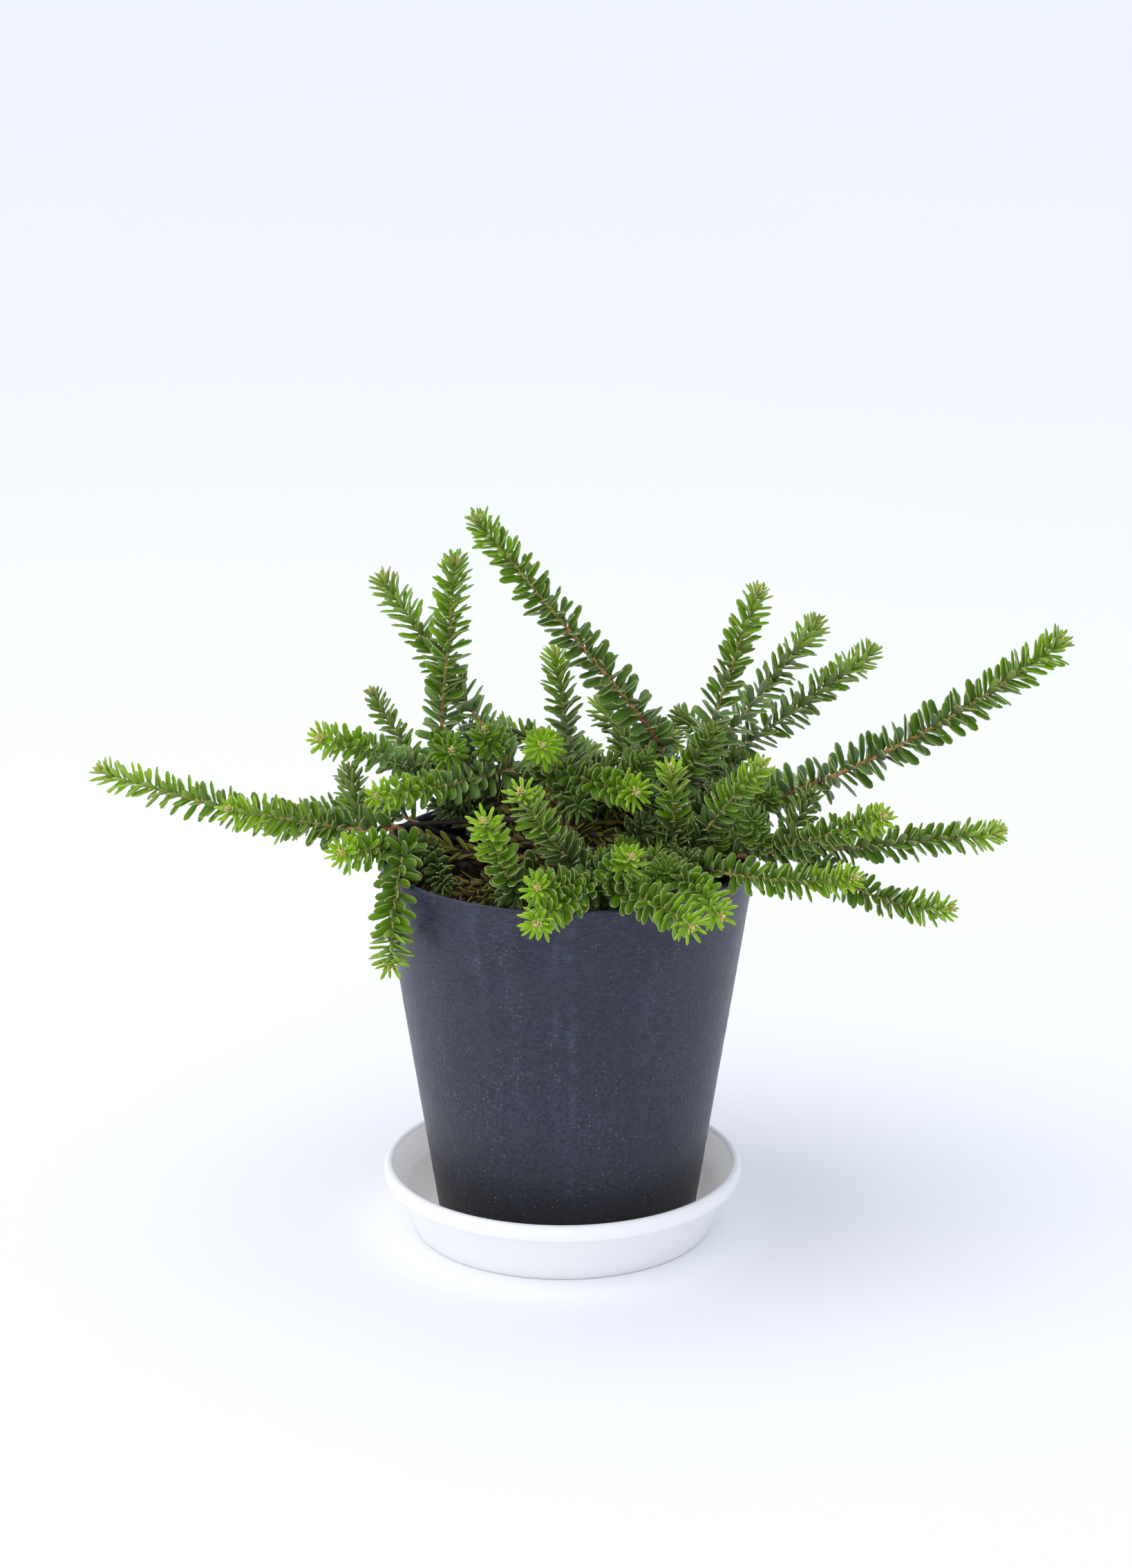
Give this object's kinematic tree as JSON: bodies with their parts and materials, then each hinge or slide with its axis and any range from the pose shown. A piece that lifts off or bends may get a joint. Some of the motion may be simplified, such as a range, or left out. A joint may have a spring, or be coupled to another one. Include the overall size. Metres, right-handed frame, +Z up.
{
  "type": "potted grevillea",
  "caption": "Low spreading grevillea shrub with arching leafy shoots, in a tapered charcoal plastic pot of soil that stands in a white saucer with a rolled lip.",
  "frame": {"origin": "centre of the saucer's flat underside, on the surface that the pot stands on", "axes": "+Z up, +X to the right in the picture, +Y away from the viewer"},
  "size_m": [0.3871, 0.2435, 0.302],
  "materials": {
    "saucer": "white moulded plastic with a soft gloss",
    "pot": "charcoal plastic with a fine wrinkled grain",
    "soil": "brown potting mix of bark and small pebbles",
    "bark": "reddish-brown young bark",
    "foliage": "thick green leaves with a soft sheen"
  },
  "bodies": {
    "root": {"saucer": "saucer", "pot": "pot", "soil": "soil", "trunk": "bark", "bough_left_arm": "bark", "bough_left_low": "bark", "bough_left_upper": "bark", "bough_tall_left": "bark", "bough_centre_left": "bark", "bough_centre": "bark", "bough_centre_back": "bark", "bough_front": "bark", "bough_front_left": "bark", "bough_rim_right": "bark", "bough_right_upright": "bark", "bough_tall_arch": "bark", "bough_right_tall": "bark", "bough_right_fan": "bark", "bough_right_arm": "bark", "bough_right_mid": "bark", "bough_right_low": "bark", "bough_back_centre": "bark", "bough_back_right": "bark", "bough_back_mid": "bark", "bough_back_left": "bark", "bough_back_far_left": "bark", "foliage_left_arm": "foliage", "foliage_left_low": "foliage", "foliage_left_upper": "foliage", "foliage_tall_left": "foliage", "foliage_centre_left": "foliage", "foliage_centre": "foliage", "foliage_centre_back": "foliage", "foliage_front": "foliage", "foliage_front_left": "foliage", "foliage_rim_right": "foliage", "foliage_right_upright": "foliage", "foliage_tall_arch": "foliage", "foliage_right_tall": "foliage", "foliage_right_fan": "foliage", "foliage_right_arm": "foliage", "foliage_right_mid": "foliage", "foliage_right_low": "foliage", "foliage_back_centre": "foliage", "foliage_back_right": "foliage", "foliage_back_mid": "foliage", "foliage_back_left": "foliage", "foliage_back_far_left": "foliage"}
  },
  "joints": []
}
